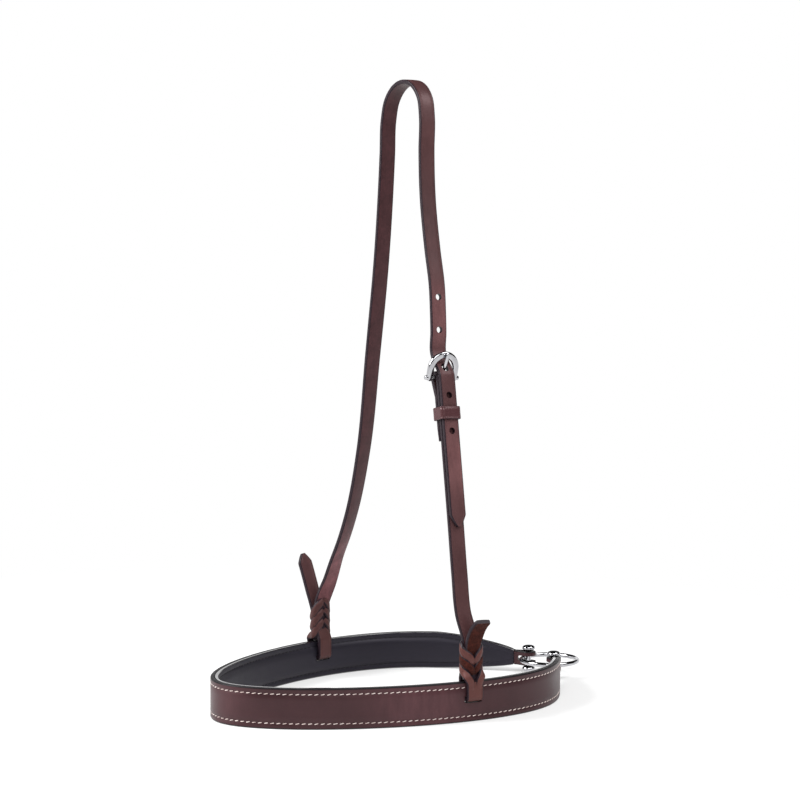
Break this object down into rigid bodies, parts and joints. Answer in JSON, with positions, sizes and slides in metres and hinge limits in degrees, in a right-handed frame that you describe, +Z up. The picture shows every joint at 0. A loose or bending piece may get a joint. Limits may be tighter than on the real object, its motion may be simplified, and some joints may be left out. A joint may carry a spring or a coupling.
{
  "type": "noseband",
  "caption": "Leather noseband with padded lining, plaited hangers, a buckled headpiece and a tie-down ring.",
  "frame": {"origin": "middle of the leather strip's lower edge at the nose, on the plane that the band stands on", "axes": "+Z up towards the crown, +X towards the near (left, buckle) cheek, -Y the nose, +Y the jaw"},
  "size_m": [0.2235, 0.3254, 0.4581],
  "materials": {
    "bridle_leather": "dark havana brown bridle leather, waxed, with a soft sheen",
    "strap_leather": "reddish brown strap leather with dark edges",
    "keeper_leather": "dark reddish brown, a little glossier than the straps",
    "lining_leather": "black lining leather with a low sheen",
    "felt": "undyed felt, hidden between strip and lining",
    "polished_steel": "polished stainless steel"
  },
  "bodies": {
    "band": {"band_leather": "bridle_leather", "band_padding": "felt", "band_lining": "lining_leather"},
    "headpiece": {"crown_strap": "strap_leather", "cheek_strap": "strap_leather"},
    "keeper": {"keeper": "keeper_leather"},
    "buckle_frame": {"buckle_frame": "polished_steel"},
    "buckle_tongue": {"buckle_tongue": "polished_steel"},
    "near_toggle_pin": {"near_toggle_pin": "polished_steel"},
    "off_toggle_pin": {"off_toggle_pin": "polished_steel"},
    "tie_down_ring": {"tie_down_ring": "polished_steel"}
  },
  "joints": [
    {"name": "headpiece_in_slots", "type": "hinge", "parent": "band", "child": "headpiece", "pos_m": [-0.00903, 0.14772, 0.016], "axis": [0.9981, 0.061, 0], "range_deg": [-5, 5]},
    {"name": "keeper_on_cheek_strap", "type": "slide", "parent": "headpiece", "child": "keeper", "axis": [-0.2007, 0.036, 0.979], "range_m": [-0.018, 0.005]},
    {"name": "frame_on_bar", "type": "hinge", "parent": "headpiece", "child": "buckle_frame", "pos_m": [0.04788, 0.1549, 0.24131], "axis": [0.0072, 0.9994, -0.0353], "range_deg": [0, 4]},
    {"name": "tongue_on_bar", "type": "hinge", "parent": "buckle_frame", "child": "buckle_tongue", "pos_m": [0.04788, 0.1549, 0.24131], "axis": [0.0072, 0.9994, -0.0353], "range_deg": [0, 6]},
    {"name": "ring_in_tabs", "type": "hinge", "parent": "band", "child": "tie_down_ring", "pos_m": [-0.01835, 0.30004, 0.0113], "axis": [0, 0, 1], "continuous": true},
    {"name": "near_pin_in_tab", "type": "hinge", "parent": "band", "child": "near_toggle_pin", "pos_m": [-0.00234, 0.2925, 0.0113], "axis": [0, 0, 1], "continuous": true},
    {"name": "off_pin_in_tab", "type": "hinge", "parent": "band", "child": "off_toggle_pin", "pos_m": [-0.03333, 0.29061, 0.0113], "axis": [0, 0, 1], "continuous": true}
  ]
}
